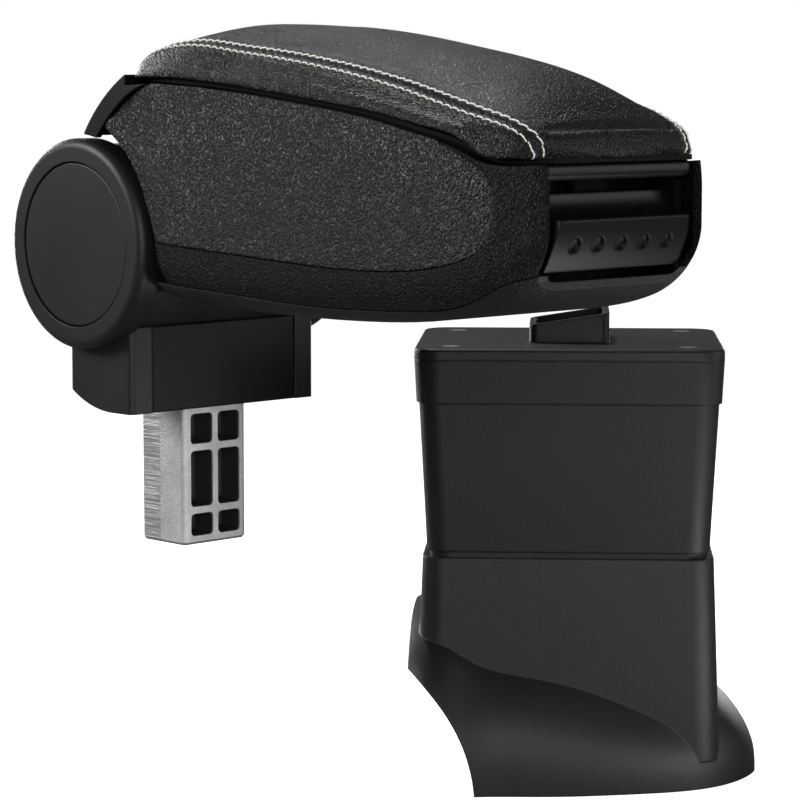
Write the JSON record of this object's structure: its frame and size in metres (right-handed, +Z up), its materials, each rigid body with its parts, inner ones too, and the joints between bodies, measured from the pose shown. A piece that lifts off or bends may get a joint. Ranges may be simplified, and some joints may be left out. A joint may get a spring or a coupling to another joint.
{
  "type": "car centre armrest",
  "caption": "Padded car armrest with a lidded storage box that tilts on a round hub above a cast insert, beside the hollow console base whose socket takes the insert.",
  "frame": {"origin": "the insert's centre on the plane where the column meets the base", "axes": "+X forward, to the latch end; +Y left; +Z up"},
  "size_m": [0.3076, 0.2805, 0.336],
  "materials": {
    "leatherette": "black leatherette with a fine grain and a soft sheen",
    "panel_plastic": "black with a coarse speckled grain",
    "band_plastic": "black with a leather-like grain",
    "shell_plastic": "black, finely textured",
    "hub_plastic": "satin dark grey",
    "column_plastic": "smooth satin black",
    "inner_plastic": "matte black",
    "lever_plastic": "satin black",
    "base_plastic": "black with a fine matte grain",
    "cast_aluminium": "cast, machined and scratched at the rear of its sides",
    "steel": "zinc-plated steel",
    "friction_lining": "pressed friction lining",
    "buffer_rubber": "soft black rubber"
  },
  "bodies": {
    "column": {"insert": "cast_aluminium", "column_cover_right": "hub_plastic", "column_cover_left": "hub_plastic", "hub_cap_right": "hub_plastic", "hub_cap_left": "hub_plastic", "column_front_plate": "column_plastic", "column_rear_cover": "column_plastic", "axle": "steel", "axle_nut": "steel", "friction_discs": "friction_lining", "disc_springs": "steel", "base_cap": "base_plastic", "base_screws": "steel", "base_box": "base_plastic", "base_foot": "base_plastic"},
    "arm": {"hinge_frame": "steel", "frame_screws": "steel", "lower_shell": "shell_plastic", "side_cover_right": "band_plastic", "side_cover_left": "band_plastic", "side_panel_right": "panel_plastic", "side_panel_left": "panel_plastic", "rear_cover": "column_plastic", "storage_tub": "inner_plastic", "lid_buffers": "buffer_rubber", "lid_pin": "steel", "latch_pin": "steel", "latch_spring": "steel"},
    "lid": {"lid_board": "inner_plastic", "lid_bar": "lever_plastic", "lid_liner": "inner_plastic", "lid_catch": "inner_plastic", "lid_pad": "leatherette"},
    "latch": {"latch_lever": "lever_plastic"}
  },
  "joints": [
    {"name": "arm_tilt", "type": "hinge", "parent": "column", "child": "arm", "pos_m": [-0.005, 0, 0.0725], "axis": [0, -1, 0], "range_deg": [0, 90]},
    {"name": "lid_open", "type": "hinge", "parent": "arm", "child": "lid", "pos_m": [0.0245, 0, 0.1413], "axis": [0, -1, 0], "range_deg": [0, 75]},
    {"name": "latch_pull", "type": "hinge", "parent": "arm", "child": "latch", "pos_m": [0.2425, 0, 0.077], "axis": [0, 1, 0], "range_deg": [0, 10], "stiffness_Nm_per_rad": 0.5, "springref_deg": -5.73}
  ]
}
